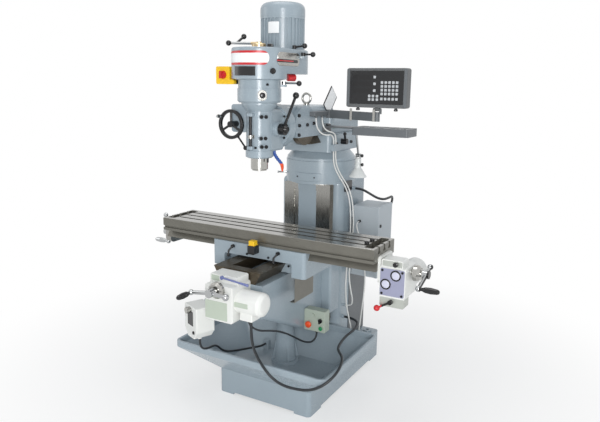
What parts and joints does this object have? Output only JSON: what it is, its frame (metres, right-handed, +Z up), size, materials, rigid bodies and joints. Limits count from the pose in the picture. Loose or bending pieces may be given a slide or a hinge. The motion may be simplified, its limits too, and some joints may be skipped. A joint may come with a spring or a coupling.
{
  "type": "milling machine",
  "caption": "Turret milling machine: column with knee, saddle and slotted table on dovetail slides, swivelling ram with a tilting quill head, ribbed motor, power feeds, readout and cabinet.",
  "frame": {"origin": "on the floor, in the middle of the four anchor holes, below the face of the column's ways", "axes": "+X to the operator's right, +Y to the rear, +Z up"},
  "size_m": [1.765, 1.467, 2.112],
  "materials": {
    "paint": "smooth light blue-grey machine paint",
    "head_paint": "smooth light blue-grey machine paint on cast aluminium",
    "steel": "turned and ground",
    "ground_iron": "ground, lightly oiled",
    "chrome": "polished plating",
    "black_steel": "black oxide with black knobs",
    "feed_cream": "cream-white enamel on cast aluminium",
    "box_grey": "light grey sheet-metal paint",
    "tray_paint": "grey sheet-metal paint",
    "display_case": "grey moulded case",
    "lamp_shade": "light enamel",
    "black_plastic": "moulded",
    "red_plastic": "moulded",
    "green_plastic": "moulded",
    "yellow_plastic": "moulded",
    "lever_blue": "moulded grip on a steel bar",
    "hose_blue": "moulded ball-jointed segments",
    "black_rubber": "matt sheath",
    "cable_grey": "matt sheath"
  },
  "bodies": {
    "base": {"base_casting": "paint", "column_casting": "paint", "elevating_pedestal": "paint", "cabinet_case": "box_grey", "cabinet_cables": "black_rubber"},
    "cabinet_door": {"cabinet_door": "box_grey"},
    "knee": {"knee_casting": "paint", "z_feed_unit": "feed_cream", "y_feed_unit": "feed_cream", "button_station": "box_grey", "knee_conduits": "black_rubber"},
    "elevating_screw": {"elevating_screw": "steel"},
    "knee_shaft": {"z_shaft": "steel"},
    "cross_screw": {"y_screw": "steel", "y_crank": "chrome"},
    "cross_feed_lever": {"y_feed_lever": "lever_blue"},
    "estop_button": {"estop_button": "red_plastic"},
    "start_button": {"start_button": "green_plastic"},
    "selector_switch": {"selector_switch": "black_plastic"},
    "saddle": {"saddle_casting": "paint", "table_gib": "steel", "limit_switch": "yellow_plastic"},
    "table_lock_left": {"table_lock_left": "black_steel"},
    "table_lock_right": {"table_lock_right": "black_steel"},
    "table": {"table_top": "ground_iron", "left_end_bracket": "paint", "x_feed_unit": "feed_cream"},
    "table_screw": {"x_screw": "steel", "x_cranks": "chrome"},
    "table_feed_lever": {"x_feed_lever": "black_steel"},
    "turret": {"turret_casting": "paint", "column_cables": "cable_grey"},
    "ram_handle": {"ram_handle": "black_steel"},
    "ram": {"ram_casting": "paint", "junction_box": "box_grey", "lifting_eye": "steel", "tool_tray": "tray_paint", "ram_cables": "cable_grey"},
    "readout_arm": {"dro_arm": "box_grey"},
    "readout": {"dro_display": "display_case"},
    "lamp_arm": {"lamp_arm": "chrome"},
    "lamp_head": {"lamp_head": "lamp_shade"},
    "knuckle": {"knuckle_casting": "paint"},
    "head": {"quill_housing": "paint", "gear_case": "paint", "belt_housing": "head_paint", "motor_body": "paint", "fan_cover": "head_paint", "switch_box": "yellow_plastic", "coolant_hose": "hose_blue"},
    "switch_knob": {"switch_knob": "red_plastic"},
    "speed_crank": {"speed_crank": "chrome"},
    "brake_lever": {"brake_lever": "black_steel"},
    "range_lever": {"range_lever": "black_steel"},
    "motor_lock_lever": {"motor_lock_lever": "black_steel"},
    "feed_trip_lever": {"feed_trip_lever": "black_steel"},
    "fine_feed_wheel": {"fine_feed_wheel": "black_plastic"},
    "quill_lever": {"quill_lever": "black_steel"},
    "quill": {"quill": "steel"},
    "spindle": {"spindle": "steel"}
  },
  "joints": [
    {"name": "door_hinge", "type": "hinge", "parent": "base", "child": "cabinet_door", "pos_m": [0.38, 0.352, 0.8215], "axis": [0, 0, 1], "range_deg": [0, 110]},
    {"name": "knee_slide", "type": "slide", "parent": "base", "child": "knee", "axis": [0, 0, 1], "range_m": [-0.1, 0.28], "deforming": ["knee_conduits"]},
    {"name": "elevating_screw_turn", "type": "hinge", "parent": "knee", "child": "elevating_screw", "pos_m": [0, -0.228, 0.598], "axis": [0, 0, 1], "continuous": true},
    {"name": "knee_shaft_turn", "type": "hinge", "parent": "knee", "child": "knee_shaft", "pos_m": [0, -0.228, 0.598], "axis": [-0.3971, -0.9178, 0], "continuous": true},
    {"name": "saddle_slide", "type": "slide", "parent": "knee", "child": "saddle", "axis": [0, 1, 0], "range_m": [-0.28, 0.06]},
    {"name": "cross_screw_turn", "type": "hinge", "parent": "knee", "child": "cross_screw", "pos_m": [0, -0.84, 0.767], "axis": [0, -1, 0], "continuous": true},
    {"name": "cross_feed_lever_throw", "type": "hinge", "parent": "knee", "child": "cross_feed_lever", "pos_m": [-0.005, -0.798, 0.814], "axis": [0, -1, 0], "range_deg": [-8, 8]},
    {"name": "estop_press", "type": "slide", "parent": "knee", "child": "estop_button", "axis": [0, 1, 0], "range_m": [0, 0.006], "stiffness_N_per_m": 1200},
    {"name": "start_press", "type": "slide", "parent": "knee", "child": "start_button", "axis": [0, 1, 0], "range_m": [0, 0.004], "stiffness_N_per_m": 900},
    {"name": "selector_turn", "type": "hinge", "parent": "knee", "child": "selector_switch", "pos_m": [0.252, -0.279, 0.472], "axis": [0, -1, 0], "range_deg": [-45, 45]},
    {"name": "table_lock_left_turn", "type": "hinge", "parent": "saddle", "child": "table_lock_left", "pos_m": [-0.145, -0.515, 0.884], "axis": [0, -1, 0], "range_deg": [-25, 25]},
    {"name": "table_lock_right_turn", "type": "hinge", "parent": "saddle", "child": "table_lock_right", "pos_m": [0.13, -0.515, 0.884], "axis": [0, -1, 0], "range_deg": [-25, 25]},
    {"name": "table_slide", "type": "slide", "parent": "saddle", "child": "table", "axis": [1, 0, 0], "range_m": [-0.35, 0.35]},
    {"name": "table_screw_turn", "type": "hinge", "parent": "table", "child": "table_screw", "pos_m": [0, -0.376, 0.858], "axis": [1, 0, 0], "continuous": true},
    {"name": "table_feed_lever_throw", "type": "hinge", "parent": "table", "child": "table_feed_lever", "pos_m": [0.712, -0.462, 0.726], "axis": [0, -1, 0], "range_deg": [-20, 20]},
    {"name": "turret_swivel", "type": "hinge", "parent": "base", "child": "turret", "pos_m": [0, 0.17, 1.2875], "axis": [0, 0, 1], "range_deg": [-60, 60], "deforming": ["column_cables"]},
    {"name": "ram_slide", "type": "slide", "parent": "turret", "child": "ram", "axis": [0, 1, 0], "range_m": [-0.28, 0], "deforming": ["ram_cables"]},
    {"name": "ram_handle_turn", "type": "hinge", "parent": "turret", "child": "ram_handle", "pos_m": [0.15, 0.13, 1.3955], "axis": [1, 0, 0], "continuous": true},
    {"name": "readout_arm_swing", "type": "hinge", "parent": "ram", "child": "readout_arm", "pos_m": [0.116, 0.04, 1.531], "axis": [0, 0, 1], "range_deg": [-25, 60]},
    {"name": "readout_tilt", "type": "hinge", "parent": "readout_arm", "child": "readout", "pos_m": [0.461, -0.112, 1.59], "axis": [1, 0, 0], "range_deg": [-20, 20]},
    {"name": "lamp_arm_swing", "type": "hinge", "parent": "ram", "child": "lamp_arm", "pos_m": [0.272, 0.06, 1.452], "axis": [1, 0, 0], "range_deg": [-20, 30]},
    {"name": "lamp_head_tilt", "type": "hinge", "parent": "lamp_arm", "child": "lamp_head", "pos_m": [0.272, 0.095, 1.326], "axis": [1, 0, 0], "range_deg": [-25, 25]},
    {"name": "head_nod", "type": "hinge", "parent": "ram", "child": "knuckle", "pos_m": [0, -0.19, 1.5], "axis": [-1, 0, 0], "range_deg": [-45, 45]},
    {"name": "head_tilt", "type": "hinge", "parent": "knuckle", "child": "head", "pos_m": [0, -0.355, 1.5], "axis": [0, 1, 0], "range_deg": [-90, 90]},
    {"name": "main_switch_turn", "type": "hinge", "parent": "head", "child": "switch_knob", "pos_m": [-0.177, -0.545, 1.752], "axis": [0, -1, 0], "range_deg": [0, 90]},
    {"name": "speed_crank_swing", "type": "hinge", "parent": "head", "child": "speed_crank", "pos_m": [0.017, -0.52, 1.879], "axis": [0, 0, 1], "range_deg": [-20, 60]},
    {"name": "brake_lever_swing", "type": "hinge", "parent": "head", "child": "brake_lever", "pos_m": [0.146, -0.321, 1.846], "axis": [0, 0, 1], "range_deg": [-20, 20]},
    {"name": "range_lever_swing", "type": "hinge", "parent": "head", "child": "range_lever", "pos_m": [0.096, -0.42, 1.708], "axis": [0, 0, 1], "range_deg": [-25, 25]},
    {"name": "motor_lock_swing", "type": "hinge", "parent": "head", "child": "motor_lock_lever", "pos_m": [0.112, -0.35, 1.879], "axis": [0, 0, 1], "range_deg": [-25, 25]},
    {"name": "feed_trip_swing", "type": "hinge", "parent": "head", "child": "feed_trip_lever", "pos_m": [-0.033, -0.556, 1.404], "axis": [0, -1, 0], "range_deg": [-15, 15]},
    {"name": "fine_feed_turn", "type": "hinge", "parent": "head", "child": "fine_feed_wheel", "pos_m": [-0.102, -0.585, 1.517], "axis": [0, -1, 0], "continuous": true},
    {"name": "quill_lever_turn", "type": "hinge", "parent": "head", "child": "quill_lever", "pos_m": [0.092, -0.444, 1.494], "axis": [1, 0, 0], "continuous": true},
    {"name": "quill_slide", "type": "slide", "parent": "head", "child": "quill", "axis": [0, 0, 1], "range_m": [-0.127, 0]},
    {"name": "spindle_turn", "type": "hinge", "parent": "quill", "child": "spindle", "pos_m": [0, -0.491, 1.29], "axis": [0, 0, 1], "continuous": true}
  ],
  "couplings": [
    {"joint": "elevating_screw_turn", "follows": "knee_slide", "rad_per_m": 628.32},
    {"joint": "knee_shaft_turn", "follows": "knee_slide", "rad_per_m": -953.31},
    {"joint": "cross_screw_turn", "follows": "saddle_slide", "rad_per_m": 628.32},
    {"joint": "table_screw_turn", "follows": "table_slide", "rad_per_m": 628.32},
    {"joint": "ram_handle_turn", "follows": "ram_slide", "rad_per_m": 50},
    {"joint": "quill_lever_turn", "follows": "quill_slide", "rad_per_m": -26.316}
  ]
}
